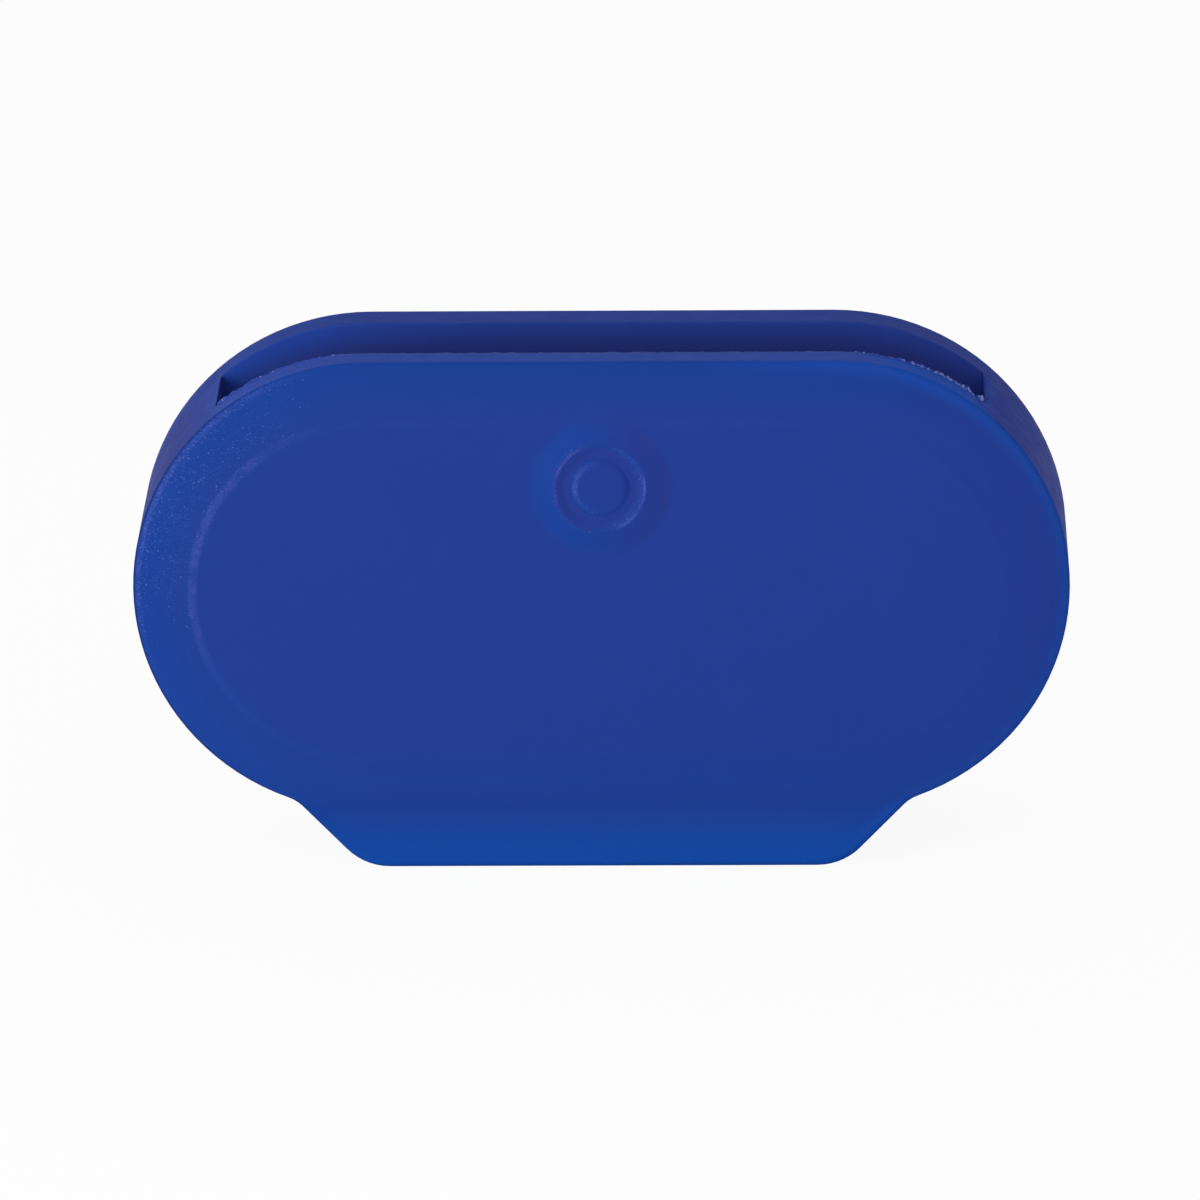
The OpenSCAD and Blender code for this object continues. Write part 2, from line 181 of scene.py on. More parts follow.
# Blues of the moulding
FACE_BLUE = rgb(0.0165, 0.0430, 0.271)
# Painted light: cooler blue where faces turn left towards the lamp
LIT_LEFTWARD_BLUE = rgb(0.0105, 0.0450, 0.275)
SMEAR_BLUE = rgb(0.02, 0.07, 0.40)
EDGE_BLUE = rgb(0.022, 0.057, 0.325)
# Painted light on side walls that face right, away from the main lamp
RIGHT_EDGE_LIT_BLUE = rgb(0.010, 0.064, 0.400)
# Painted shade on the side walls of the round ends, darker on the left
LEFT_END_SHADE_BLUE = rgb(0.012, 0.027, 0.205)
RIGHT_END_SHADE_BLUE = rgb(0.009, 0.027, 0.260)
# Painted light that lifts the shaded end wall inside the slot
SLOT_END_LIT_VIOLET = rgb(0.050, 0.050, 0.280)
WET_EDGE_BLUE = rgb(0.030, 0.040, 0.20)
# Painted shade on the wet half's round-end walls
WET_END_SHADE_BLUE = rgb(0.008, 0.028, 0.235)
# Painted glow near the rim, on faces turned down and in the foot
RIM_GLOW_BLUE = rgb(0.0045, 0.0450, 0.268)
RIGHT_RIM_GLOW_BLUE = rgb(0.009, 0.064, 0.365)
UNDERSIDE_LIT_BLUE = rgb(0.0130, 0.054, 0.31)
FOOT_GLOW_BLUE = rgb(0.0045, 0.0660, 0.350)
# Painted light near the top of the slot's back wall and painted shade deeper down
SLOT_TOP_LIT_BLUE = rgb(0.021, 0.050, 0.290)
SLOT_TOP_LEFT_LIT_BLUE = rgb(0.018, 0.059, 0.345)
SLOT_DEPTH_SHADE_BLUE = rgb(0.024, 0.034, 0.190)
# Painted light on the boss's left flank, painted shade on its groove and right flank
BOSS_LIT_LEFT_BLUE = rgb(0.007, 0.048, 0.300)
BOSS_SHADE_BLUE = rgb(0.022, 0.042, 0.255)
# Dust specks that also stand in for painted glints
DUST_AND_GLINT_BLUE = rgb(0.085, 0.130, 0.43)
# Dust films along the shoulder and rim, partly painted glints on the lit left
SHOULDER_FILM_AND_GLINT = rgb(0.058, 0.078, 0.36)
RIM_FILM_AND_GLINT = rgb(0.070, 0.100, 0.43)
# Worn crests of the boss, partly painted highlights
WORN_AND_HIGHLIGHT_BLUE = rgb(0.085, 0.105, 0.43)
CREASE_BLUE = rgb(0.006, 0.014, 0.09)
FLASH_BLUE = rgb(0.026, 0.056, 0.31)
FLASH_PALE = rgb(0.21, 0.26, 0.50)

# Radius to which sharp edges are rounded in the shading
EDGE_ROUND = 0.45 * MM
SOFT_EDGE_ROUND = 1.3 * MM

# Moulding flash: spacing, gap to the slot's ends and thickness
FLASH_SEED = 11
FLASH_STEP = 0.22 * MM
FLASH_END_GAP = 0.3 * MM
FLASH_THICKNESS = 0.05 * MM

# Flash heights in millimetres
FLASH_FIRST = 0.1
FLASH_LEAST = 0.09
FLASH_USUAL = 0.16

# How the flash grows: in millimetres over a slot's half, to the right from a place, to the left from a share
FLASH_RIGHT_GROWTH = 0.7
FLASH_RIGHT_FROM = 36 * MM
FLASH_LEFT_GROWTH = 0.08
FLASH_LEFT_FROM = 0.5

# Factors on the flash's height: random ones, one along the straight, and the share of the last height kept
FLASH_RAGGED = (0.0, 0.0, 0.4, 1.0, 1.8)
FLASH_ON_STRAIGHT = 2
FLASH_KEPT = 0.45

# How the flash stands: sunk into the wall, leaning into the slot, upright after a run on the round ends
FLASH_SUNK_Y = 0.03 * MM
FLASH_SUNK_Z = 0.06 * MM
FLASH_LEAN = 1.15
FLASH_LEAN_LOST = 0.8
FLASH_DROOP = -0.1
FLASH_UPRIGHT_AFTER = 6 * MM
FLASH_TOP_GAP = 0.01 * MM

# Torn flap at the slot's right end: gap to the end, height over the middle, corners in millimetres
FLAP_FROM_END = 0.9 * MM
FLAP_OVER_MID = 24.2 * MM
FLAP_CORNERS = (
    (0, 0, -0.1),
    (0.7, 0, -0.6),
    (0.85, 0.15, 0.35),
    (0.6, 0.25, 1.0),
    (0.3, 0.2, 0.8),
    (0.1, 0.1, 0.3),
)

# Pads: how far each starts inside its solid, the mesh's cell, the glued depth and the cloth run
PAD_SEED = 5
PAD_SIDE_GAP = 0.5 * MM
PAD_HEIGHT_SHARE = 0.972
PAD_THICKNESS_SHARE = 0.8
PAD_CELL = 0.9 * MM
GLUED_DEPTH = 0.6 * MM
SWELL_PRESSURE = 2.0
SWELL_FRAMES = 14

# Loose fibres: gap to the pad's edge, depth and slope in millimetres, turns per step in radians
STRAND_SEED = 23
STRAND_MARGIN = 1.2 * MM
STRAND_DEPTH = (0.12, 0.24)
STRAND_SLOPE = (-0.02, 0.02)
STRAND_CURL = (-0.5, 0.5)
STRAND_WOBBLE = (-0.25, 0.25)

# Camera, at the photograph's viewing angle
VIEW_AZIMUTH = math.radians(1.15)
VIEW_ELEVATION = math.radians(17)
VIEW_ROLL = math.radians(-0.55)
VIEW_DISTANCE = 1.5
VIEW_CENTRE = Vector((0, -2.42, 39.1)) * MM
VIEW_RIGHT_OF_FRAME = 0.43 * MM
VIEW_ABOVE_FRAME = 5.4 * MM
SENSOR = 36.0
FOCAL = 334.6

# Light: the world's strength, and softboxes by name, direction, distance, size and power in watts
WORLD_STRENGTH = 0.55
SOFTBOXES = (
    ("left_box", (-0.75, -0.75, 0.3), 1.0, 0.7, 6.2),
    ("front_box", (0.1, -0.9, 0.3), 1.2, 0.9, 1.2),
    ("top_box", (0.0, -0.3, 1.0), 1.0, 0.8, 1.2),
)

# Share of plain white in the floor as the camera sees it; the rest shows the shadow
FLOOR_WHITE = 0.93


# Node helpers


def plug(tree, socket, value):
    """Link a socket to another, or set it to a value."""
    if isinstance(value, bpy.types.NodeSocket):
        tree.links.new(value, socket)
    else:
        socket.default_value = value


def add_node(tree, kind, sockets=None, **settings):
    """A node with its settings, whose sockets take values or links."""
    made = tree.nodes.new(kind)
    for name, value in settings.items():
        setattr(made, name, value)
    for name, value in (sockets or {}).items():
        plug(tree, made.inputs[name], value)
    return made


def new_material(name, **sockets):
    """A material with one principled shader: the tree and the shader come with it."""
    material = bpy.data.materials.new(name)
    material.use_nodes = True
    tree = material.node_tree
    shader = tree.nodes["Principled BSDF"]
    for socket, value in sockets.items():
        shader.inputs[socket.replace("_", " ")].default_value = value
    return material, tree, shader


def place_mm(tree):
    """Coordinates on the object, in millimetres."""
    coords = add_node(tree, "ShaderNodeTexCoord")
    scaled = add_node(tree, "ShaderNodeVectorMath", {0: coords.outputs["Object"]}, operation="SCALE")
    scaled.inputs["Scale"].default_value = 1 / MM
    return scaled.outputs[0]


def noise(tree, place, scale, detail, roughness):
    """Soft noise between nothing and one."""
    sockets = {"Vector": place, "Scale": scale, "Detail": detail, "Roughness": roughness}
    return add_node(tree, "ShaderNodeTexNoise", sockets).outputs[0]


def remap(tree, value, low, high, to_low=0.0, to_high=1.0, kind="LINEAR"):
    """Value from one range in another, held at the ends."""
    sockets = {"Value": value, "From Min": low, "From Max": high, "To Min": to_low, "To Max": to_high}
    return add_node(tree, "ShaderNodeMapRange", sockets, interpolation_type=kind).outputs[0]


def ease(tree, value, low, high, to_low=0.0, to_high=1.0):
    """Like remap, with soft ends."""
    return remap(tree, value, low, high, to_low, to_high, "SMOOTHSTEP")


def maths(tree, operation, a, b=0.0):
    """One operation on numbers."""
    return add_node(tree, "ShaderNodeMath", {0: a, 1: b}, operation=operation).outputs[0]


def times(tree, *factors):
    """Product of all the factors."""
    product = factors[0]
    for factor in factors[1:]:
        product = maths(tree, "MULTIPLY", product, factor)
    return product


def left_of_one(tree, share):
    """What is left of one after a share."""
    return maths(tree, "SUBTRACT", 1.0, share)


def hypotenuse(tree, a, b):
    """Length across two legs."""
    return maths(tree, "SQRT", maths(tree, "ADD", times(tree, a, a), times(tree, b, b)))


def band(tree, value, low, high, soft):
    """One between low and high, easing to nothing outside."""
    return times(tree, ease(tree, value, low - soft, low), ease(tree, value, high + soft, high))


def axes(tree, vector):
    """X, Y and Z of a vector."""
    return add_node(tree, "ShaderNodeSeparateXYZ", {0: vector}).outputs


def mix(tree, factor, a, b):
    """Colour between a and b."""
    made = add_node(tree, "ShaderNodeMix", data_type="RGBA")
    for index, value in ((0, factor), (6, a), (7, b)):
        plug(tree, made.inputs[index], value)
    return made.outputs[2]


def bump(tree, height, depth, strength, under=None):
    """Normal of a height field of the given depth in metres, on top of another normal."""
    sockets = {"Height": height, "Distance": depth, "Strength": strength}
    if under is not None:
        sockets["Normal"] = under
    return add_node(tree, "ShaderNodeBump", sockets).outputs[0]


# Blue moulding


def inset_mm(tree, spot):
    """Distance from the outline inwards, in millimetres."""
    aside = maths(tree, "ABSOLUTE", spot["X"])
    run = maths(tree, "MAXIMUM", maths(tree, "SUBTRACT", aside, STRAIGHT / 2 / MM), 0.0)
    rise = maths(tree, "SUBTRACT", spot["Z"], MID_Z / MM)
    in_round = maths(tree, "SUBTRACT", END_RADIUS / MM, hypotenuse(tree, run, rise))
    level = times(tree, maths(tree, "SUBTRACT", FOOT_HALF / MM, aside), math.sin(FOOT_SLOPE))
    flank = maths(tree, "ADD", level, times(tree, spot["Z"], math.cos(FOOT_SLOPE)))
    height = maths(tree, "MINIMUM", spot["Z"], maths(tree, "SUBTRACT", FOOT_TOP / MM, spot["Z"]))
    return maths(tree, "MAXIMUM", in_round, maths(tree, "MINIMUM", flank, height))


def read_surface(tree):
    """What the blue moulding's finish depends on: place in millimetres, facing, and soft noises."""
    place = place_mm(tree)
    spot = axes(tree, place)
    turn = axes(tree, add_node(tree, "ShaderNodeTexCoord").outputs["Normal"])
    front = ease(tree, turn["Y"], *FACES_FRONT)
    dry = ease(tree, spot["Y"], WET_FROM, DRY_TO)
    over_boss = maths(tree, "SUBTRACT", spot["Z"], BOSS_Z / MM)
    return SimpleNamespace(
        place=place,
        x=spot["X"],
        z=spot["Z"],
        turn=turn,
        inset=inset_mm(tree, spot),
        over_boss=over_boss,
        from_boss=hypotenuse(tree, spot["X"], over_boss),
        front=front,
        side=left_of_one(tree, front),
        dry=dry,
        wet=left_of_one(tree, dry),
        dry_front=times(tree, front, dry),
        skin=noise(tree, place, *SKIN),
        cloud=noise(tree, place, *CLOUD),
        smear=noise(tree, place, *SMEAR),
    )


def body_tone(tree, here):
    """Blue with painted light and shade by facing: cooler where it faces left to the lamp, paler side walls
    with painted light on right-facing ones, painted shade at the round ends, painted light on the slot's end
    wall.
    """
    # Painted light: cooler blue where the face turns left towards the lamp
    leftwards = ease(tree, here.turn["X"], *FACES_LEFT)
    tone = mix(tree, leftwards, FACE_BLUE, LIT_LEFTWARD_BLUE)
    tone = mix(tree, remap(tree, here.smear, *MOST_NOISE, 0.0, 0.05), tone, SMEAR_BLUE)
    # Painted light on side walls that face right
    rightwards = ease(tree, here.turn["X"], *FACES_RIGHT)
    dry_side = mix(tree, rightwards, EDGE_BLUE, RIGHT_EDGE_LIT_BLUE)
    # Painted shade on the side walls of both round ends
    left_end = ease(tree, here.turn["X"], *LEFT_END)
    right_end = ease(tree, here.turn["X"], *RIGHT_END)
    at_ends = maths(tree, "MAXIMUM", left_end, right_end)
    end_shade = mix(tree, ease(tree, here.x, *LEFT_TO_RIGHT_X), LEFT_END_SHADE_BLUE, RIGHT_END_SHADE_BLUE)
    dry_side = mix(tree, at_ends, dry_side, end_shade)
    # Painted light on the slot's end wall, which lies in shade
    in_slot = ease(tree, here.inset, *SLOT_END_WALL)
    slot_end = times(tree, in_slot, ease(tree, here.turn["X"], *SLOT_END))
    dry_side = mix(tree, slot_end, dry_side, SLOT_END_LIT_VIOLET)
    tone = mix(tree, times(tree, here.side, here.dry), tone, dry_side)
    tone = mix(tree, times(tree, here.side, here.wet, 0.25), tone, WET_EDGE_BLUE)
    # Painted shade on the wet half's round-end walls
    return mix(tree, times(tree, here.side, here.wet, at_ends, 0.7), tone, WET_END_SHADE_BLUE)


def paint_glow_in_edges(tree, here, tone):
    """Painted glow: brighter blue near the rim, stronger on the left, on faces turned down and, stronger, in
    the thin foot, standing in for light that comes through and bounces up.
    """
    fading = ease(tree, here.x, *RIM_GLOW_X, 0.6, 0.1)
    near_rim = times(tree, ease(tree, here.inset, *RIM_GLOW), fading)
    tone = mix(tree, times(tree, near_rim, here.dry_front), tone, RIM_GLOW_BLUE)
    growing = ease(tree, here.x, *RIGHT_RIM_GLOW_X, 0.0, 0.9)
    right_rim = times(tree, ease(tree, here.inset, *RIGHT_RIM_GLOW), growing)
    tone = mix(tree, times(tree, right_rim, here.dry_front), tone, RIGHT_RIM_GLOW_BLUE)
    below = times(tree, ease(tree, here.turn["Z"], *FACES_DOWN, 0.0, 0.45), here.dry_front)
    tone = mix(tree, below, tone, UNDERSIDE_LIT_BLUE)
    in_foot = times(tree, ease(tree, here.z, *FOOT_GLOW_Z), here.dry_front)
    return mix(tree, in_foot, tone, FOOT_GLOW_BLUE)


def shade_slot(tree, here, tone):
    """Painted light and shade on the wet half's face behind the slot: bluer near its rim, duller further
    down, brighter towards the left.
    """
    upper = mix(tree, ease(tree, here.x, *SLOT_TOP_LEFT_X), SLOT_TOP_LIT_BLUE, SLOT_TOP_LEFT_LIT_BLUE)
    wall = mix(tree, ease(tree, here.inset, *SLOT_TOP), SLOT_DEPTH_SHADE_BLUE, upper)
    near_top = times(tree, ease(tree, here.inset, *BEHIND_SLOT), ease(tree, here.z, *BEHIND_SLOT_Z))
    return mix(tree, times(tree, near_top, here.front, here.wet), tone, wall)


def paint_boss_light_and_shade(tree, here, tone):
    """Painted light and shade on the boss: cooler lit flank on the left, duller shaded groove and right
    flank.
    """
    faces_left = ease(tree, here.turn["X"], *BOSS_FACES_LEFT)
    left_flank = times(tree, band(tree, here.from_boss, *LEFT_FLANK, soft=1.5), faces_left)
    tone = mix(tree, times(tree, left_flank, here.dry_front, 0.5), tone, BOSS_LIT_LEFT_BLUE)
    faces_right = ease(tree, here.turn["X"], *BOSS_FACES_RIGHT)
    right_flank = times(tree, band(tree, here.from_boss, *RIGHT_FLANK, soft=1.6), faces_right)
    groove = band(tree, here.from_boss, *GROOVE, soft=0.5)
    dull = times(tree, maths(tree, "MAXIMUM", right_flank, groove), here.dry_front, 0.5)
    return mix(tree, dull, tone, BOSS_SHADE_BLUE)


def at_dusty_lit_end(tree, here):
    """Upper left of the face, where the dust lies and the light falls."""
    return times(tree, ease(tree, here.x, *DUST_AND_LIGHT_X), ease(tree, here.z, *DUST_AND_LIGHT_Z))


def grainy(tree, here):
    """Patchy share by which films, worn crests and their painted glints show."""
    return ease(tree, maths(tree, "ADD", here.skin, here.cloud), *GRAIN_SHOWS, 0.05, 0.75)


def scatter_dust_and_glints(tree, here, tone):
    """Fine dust specks, also painted glints where the light falls: thick along the rim and the plateau's
    shoulder, thin on the bevel and on the boss's left-facing crests.
    """
    at_rim = ease(tree, here.inset, *RIM_DUST_AND_GLINT, 0.0, 0.55)
    on_shoulder = times(tree, band(tree, here.inset, *SHOULDER, soft=0.5), 0.35)
    cloudy = ease(tree, here.cloud, *CLOUD_SHOWS, 0.1, 0.5)
    on_bevel = times(tree, ease(tree, here.inset, *BEVEL_DUST_AND_GLINT), cloudy)
    upper = times(tree, maths(tree, "ADD", at_rim, on_bevel), ease(tree, here.z, *BEVEL_DUST_AND_GLINT_Z))
    on_face = maths(tree, "ADD", upper, on_shoulder)
    crest = band(tree, here.from_boss, *RING_CREST, soft=0.3)
    dome_edge = band(tree, here.from_boss, *DOME_EDGE, soft=0.3)
    faces_left = ease(tree, here.turn["X"], *BOSS_DUST_AND_GLINT, 0.0, 0.7)
    on_boss = times(tree, maths(tree, "MAXIMUM", crest, dome_edge), faces_left)
    lie = maths(tree, "ADD", times(tree, on_face, at_dusty_lit_end(tree, here)), on_boss)
    lie = times(tree, lie, here.dry_front)
    for scale, count, strength in SPECKS:
        cells = add_node(tree, "ShaderNodeTexVoronoi", {"Vector": here.place, "Scale": scale})
        chance = axes(tree, cells.outputs["Color"])
        fallen = maths(tree, "GREATER_THAN", times(tree, lie, count), left_of_one(tree, chance["X"]))
        speck = ease(tree, cells.outputs["Distance"], *SPECK_EDGE)
        shown = times(tree, fallen, speck, chance["Y"], strength)
        tone = mix(tree, shown, tone, DUST_AND_GLINT_BLUE)
    return tone


def wear_and_painted_glints(tree, here, tone):
    """Pale dust films on the shoulder and rim, partly painted glints; worn crests on the boss, pale where
    painted highlights fall; a dark crease at the left rim.
    """
    grain = grainy(tree, here)
    dusty_and_lit = at_dusty_lit_end(tree, here)
    shoulder = band(tree, here.inset, *SHOULDER, soft=0.5)
    rim = times(tree, band(tree, here.inset, *RIM_LINE, soft=0.25), 0.8)
    # Dust films on the shoulder and rim, partly painted glints where the light falls
    for line, film in ((shoulder, SHOULDER_FILM_AND_GLINT), (rim, RIM_FILM_AND_GLINT)):
        tone = mix(tree, times(tree, line, dusty_and_lit, here.dry_front, grain), tone, film)
    # Pale worn crests where painted highlights fall: both sides of the ring's crest, the upper left of the
    # dome's edge
    up = times(tree, here.over_boss, WEAR_AND_HIGHLIGHT_UP)
    tilt = maths(tree, "SUBTRACT", up, times(tree, here.x, WEAR_AND_HIGHLIGHT_LEFT))
    both_ways = ease(tree, maths(tree, "ABSOLUTE", tilt), *CREST_WORN_AND_LIT_FROM)
    crest = times(tree, band(tree, here.from_boss, *CREST_WEAR_AND_HIGHLIGHT, soft=0.2), both_ways)
    one_way = ease(tree, tilt, *DOME_WORN_AND_LIT_FROM)
    dome_edge = times(tree, band(tree, here.from_boss, *DOME_WEAR_AND_HIGHLIGHT, soft=0.3), one_way)
    worn = times(tree, maths(tree, "MAXIMUM", crest, dome_edge), here.dry_front, grain)
    tone = mix(tree, worn, tone, WORN_AND_HIGHLIGHT_BLUE)
    crease = times(tree, ease(tree, here.inset, *CREASE), ease(tree, here.x, *CREASE_X))
    return mix(tree, times(tree, crease, here.dry_front, 0.5), tone, CREASE_BLUE)


def soft_blue():
    """Matte blue moulding."""
    material, tree, shader = new_material(
        "soft_blue",
        Specular_IOR_Level=0.05,
        Subsurface_Weight=0.3,
        Subsurface_Radius=(0.25, 0.5, 1.0),
        Subsurface_Scale=0.8 * MM,
    )
    here = read_surface(tree)
    tone = body_tone(tree, here)
    # Layers: painted glow, painted slot shade, painted boss light and shade, dust specks that are also
    # painted glints, films and worn crests with painted glints
    for layer in (paint_glow_in_edges, shade_slot, paint_boss_light_and_shade, scatter_dust_and_glints, wear_and_painted_glints):
        tone = layer(tree, here, tone)
    plug(tree, shader.inputs["Base Color"], tone)
    plug(tree, shader.inputs["Roughness"], remap(tree, here.cloud, *MOST_NOISE, 0.55, 0.66))
    near_rim = times(tree, ease(tree, here.inset, *SOFT_RIM), ease(tree, here.x, *SOFT_RIM_X), here.dry)
    boss_foot = band(tree, here.from_boss, *BOSS_FOOT, soft=0.8)
    soft_edge = maths(tree, "MAXIMUM", near_rim, boss_foot)
    radius = remap(tree, soft_edge, 0.0, 1.0, EDGE_ROUND, SOFT_EDGE_ROUND)
    rounded = add_node(tree, "ShaderNodeBevel", {"Radius": radius}, samples=6).outputs[0]
    skin = bump(tree, here.skin, depth=0.04 * MM, strength=0.25, under=rounded)
    plug(tree, shader.inputs["Normal"], skin)
    return material


# Other materials


def flash_film():
    """Thin skin of moulding flash, blue with pale torn spots that grow towards the slot's right end."""
    material, tree, shader = new_material("flash_film", Roughness=0.6, Specular_IOR_Level=0.1)
    place = place_mm(tree)
    along = ease(tree, axes(tree, place)["X"], *TORN_FLASH_X, 0.0, 0.12)
    torn = maths(tree, "ADD", noise(tree, place, *TORN_FLASH), along)
    tone = mix(tree, ease(tree, torn, *TORN_SHOWS), FLASH_BLUE, FLASH_PALE)
    plug(tree, shader.inputs["Base Color"], tone)
    return material


def moulded_plastic(name, colour, worn):
    """Hard moulded plastic with a fine grain and rubbed patches."""
    material, tree, shader = new_material(name)
    place = place_mm(tree)
    grain = noise(tree, place, *MOULD_GRAIN)
    rubbed = noise(tree, place, *RUBBED)
    plug(tree, shader.inputs["Base Color"], mix(tree, remap(tree, rubbed, *RUBBED_SHOWS), colour, worn))
    plug(tree, shader.inputs["Roughness"], remap(tree, rubbed, *MOST_NOISE, 0.42, 0.6))
    plug(tree, shader.inputs["Normal"], bump(tree, grain, depth=0.04 * MM, strength=0.3))
    return material


def plain_metal(name, colour, dull, rough, grain_scale):
    """Metal with a fine drawn grain along X and dull patches."""
    material, tree, shader = new_material(name, Metallic=1.0)
    place = place_mm(tree)
    stretched = add_node(tree, "ShaderNodeMapping", {"Vector": place, "Scale": DRAWN})
    grain = noise(tree, stretched.outputs[0], grain_scale, detail=4.0, roughness=0.6)
    patch = noise(tree, place, *DULL_PATCH)
    plug(tree, shader.inputs["Base Color"], mix(tree, remap(tree, patch, *DULL_SHOWS), colour, dull))
    plug(tree, shader.inputs["Roughness"], remap(tree, grain, *MOST_NOISE, rough, rough + 0.18))
    plug(tree, shader.inputs["Normal"], bump(tree, grain, depth=0.01 * MM, strength=0.3))
    return material


def foam(name, colour, light, cell_scale):
    """Closed-cell sheet with small round pores."""
    material, tree, shader = new_material(name, Roughness=0.9, Specular_IOR_Level=0.2)
    place = place_mm(tree)
    cells = add_node(tree, "ShaderNodeTexVoronoi", {"Vector": place, "Scale": cell_scale})
    cloud = noise(tree, place, *FOAM_CLOUD)
    plug(tree, shader.inputs["Base Color"], mix(tree, remap(tree, cloud, *FOAM_SHOWS), colour, light))
    pores = bump(tree, cells.outputs["Distance"], depth=0.15 * MM, strength=0.6)
    plug(tree, shader.inputs["Normal"], pores)
    return material


def fibre(name, colour, light, strand_scale, depth, sheen):
    """Matted fibres: two layers of stretched noise that cross, over a cloudy ground."""
    material, tree, shader = new_material(
        name, Roughness=0.95, Specular_IOR_Level=0.15, Sheen_Weight=sheen, Sheen_Roughness=0.5
    )
    place = place_mm(tree)
    layers = []
    for turn in FIBRE_TURNS:
        mapped = add_node(
            tree,
            "ShaderNodeMapping",
            {"Vector": place, "Rotation": (0, turn, 0), "Scale": MATTED},
        )
        layers.append(noise(tree, mapped.outputs[0], strand_scale, detail=3.0, roughness=0.6))
    strands = maths(tree, "MAXIMUM", *layers)
    cloud = noise(tree, place, *FIBRE_CLOUD)
    ground = mix(tree, remap(tree, cloud, *MOST_NOISE), colour, light)
    plug(tree, shader.inputs["Base Color"], mix(tree, remap(tree, strands, *FIBRE_SHOWS), colour, ground))
    plug(tree, shader.inputs["Normal"], bump(tree, strands, depth, strength=0.8))
    return material


# Finishes by the record's material slots
FINISHES = {
    "soft_blue_shell": soft_blue(),
    "tray_plastic": moulded_plastic(
        "tray_plastic_grain", rgb(0.035, 0.037, 0.042), rgb(0.06, 0.062, 0.068)
    ),
    "plate_plastic": moulded_plastic(
        "plate_plastic_grain", rgb(0.07, 0.075, 0.085), rgb(0.105, 0.11, 0.12)
    ),
    "packing_foam": foam("packing_foam_cells", rgb(0.012, 0.012, 0.013), rgb(0.03, 0.03, 0.032), 2.6),
    "yoke_steel": plain_metal("yoke_zinc", rgb(0.50, 0.51, 0.53), rgb(0.38, 0.40, 0.43), 0.32, 3.0),
    "magnet_nickel": plain_metal("magnet_plating", rgb(0.66, 0.63, 0.57), rgb(0.55, 0.53, 0.49), 0.2, 1.5),
    "screw_steel": plain_metal("screw_stainless", rgb(0.60, 0.60, 0.61), rgb(0.47, 0.48, 0.49), 0.28, 6.0),
    "seal_rubber": foam("seal_skin", rgb(0.012, 0.012, 0.013), rgb(0.022, 0.022, 0.023), 8.0),
    "felt": fibre("felt_fibres", rgb(0.46, 0.46, 0.44), rgb(0.62, 0.62, 0.60), 5.0, 0.12 * MM, 0.3),
    "scrub_fibre": fibre(
        "scrub_fibres", rgb(0.035, 0.055, 0.042), rgb(0.075, 0.10, 0.08), 3.0, 0.3 * MM, 0.15
    ),
    "blade_steel": plain_metal("blade_ground", rgb(0.60, 0.61, 0.62), rgb(0.56, 0.57, 0.59), 0.22, 5.0),
}

for part in frame["record"]["subparts"]:
    frame["nodes"][part["node"]].material_slots[0].material = FINISHES[part["material_slot"]]


# Moulding flash along the slot's front edge


def flash_height(x, rng, last):
    """Ragged height in millimetres, higher along the straight and towards the slot's right end."""
    to_right = max(0.0, (x - FLASH_RIGHT_FROM) / SLOT_HALF)
    to_left = max(0.0, -x / SLOT_HALF - FLASH_LEFT_FROM)
    usual = FLASH_USUAL + FLASH_RIGHT_GROWTH * to_right + FLASH_LEFT_GROWTH * to_left
    wanted = usual * rng.choice(FLASH_RAGGED)
    if abs(x) < STRAIGHT / 2:
        wanted *= FLASH_ON_STRAIGHT
    return FLASH_KEPT * last + (1 - FLASH_KEPT) * wanted


def add_flash():
    """Ribbon that leans into the slot along the straight and stands up on the round ends."""
    rng = random.Random(FLASH_SEED)
    corners, faces = [], []
    count = int(2 * (SLOT_HALF - FLASH_END_GAP) / FLASH_STEP)
    height = FLASH_FIRST
    for index in range(count + 1):
        x = -SLOT_HALF + FLASH_END_GAP + index * FLASH_STEP
        run = max(0.0, abs(x) - STRAIGHT / 2)
        rise = math.sqrt(END_RADIUS**2 - run**2)
        stand = min(1.0, run / FLASH_UPRIGHT_AFTER)
        up = Vector((math.copysign(run, x), 0, rise)) / END_RADIUS
        inwards = Vector((0, FLASH_LEAN - FLASH_LEAN_LOST * stand, FLASH_DROOP))
        lean = (up * stand + inwards).normalized()
        height = flash_height(x, rng, height)
        root = Vector((x, SLOT_FRONT_Y - FLASH_SUNK_Y, MID_Z + rise - FLASH_SUNK_Z))
        tip = root + lean * (height + FLASH_LEAST) * MM
        tip.z = min(tip.z, cad_high.z - FLASH_TOP_GAP)
        corners += [root, tip]
        if index:
            faces.append((2 * index - 2, 2 * index, 2 * index + 1, 2 * index - 1))
    flap = Vector((SLOT_HALF - FLAP_FROM_END, SLOT_FRONT_Y, MID_Z + FLAP_OVER_MID))
    first = len(corners)
    for corner in FLAP_CORNERS:
        corners.append(flap + Vector(corner) * MM)
    faces.append(tuple(range(first, len(corners))))
    mesh = bpy.data.meshes.new("slot_flash")
    mesh.from_pydata(corners, [], faces)
    piece = bpy.data.objects.new("slot_flash", mesh)
    bpy.context.scene.collection.objects.link(piece)
    thick = piece.modifiers.new("thick", "SOLIDIFY")
    thick.thickness = FLASH_THICKNESS
    thick.offset = 0
    mesh.materials.append(flash_film())
    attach(piece, "dry_half")


add_flash()


# Pads


def evaluated(piece):
    """Mesh of a piece after its modifiers."""
    graph = bpy.context.evaluated_depsgraph_get()
    return bpy.data.meshes.new_from_object(piece.evaluated_get(graph))


def box_of(mesh):
    """Lowest and highest corner of a mesh."""
    spots = [point.co for point in mesh.vertices]
    return (Vector(ends(spot[axis] for spot in spots) for axis in range(3)) for ends in (min, max))


